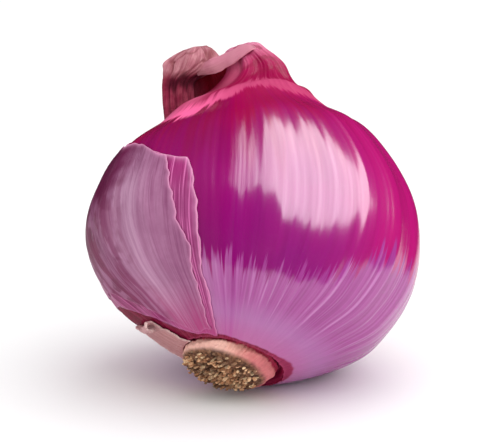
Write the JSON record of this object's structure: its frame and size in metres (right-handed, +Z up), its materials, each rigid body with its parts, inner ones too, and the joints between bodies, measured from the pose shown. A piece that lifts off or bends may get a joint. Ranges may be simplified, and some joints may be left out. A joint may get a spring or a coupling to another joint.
{
  "type": "red onion",
  "caption": "Whole red onion lying tilted on a small flat spot, with a ribbed glossy bulb, torn papery skin, a dried neck and a root plate with trimmed roots.",
  "frame": {"origin": "middle of the small flat spot on the underside of the bulb, at the level of the surface it rests on", "axes": "+Z up, -Y towards the front, where the root end looks out at the lower left, +X to the right as seen from the front"},
  "size_m": [0.0652, 0.0624, 0.0632],
  "materials": {
    "magenta_skin": "glossy living skin, deep magenta with purple and pale lilac veins",
    "papery_skin": "dry satin lilac skin with fine lengthwise veins",
    "curled_skin": "dry matt pink-brown skin",
    "dry_root": "matt tan corky plate and dry root stubs",
    "dry_leaf": "matt dried leaf bases, pink-brown and cracked"
  },
  "bodies": {
    "root": {"bulb": "magenta_skin", "papery_skin": "papery_skin", "skin_curl": "curled_skin", "root_plate": "dry_root", "neck_stub": "dry_leaf"}
  },
  "joints": []
}
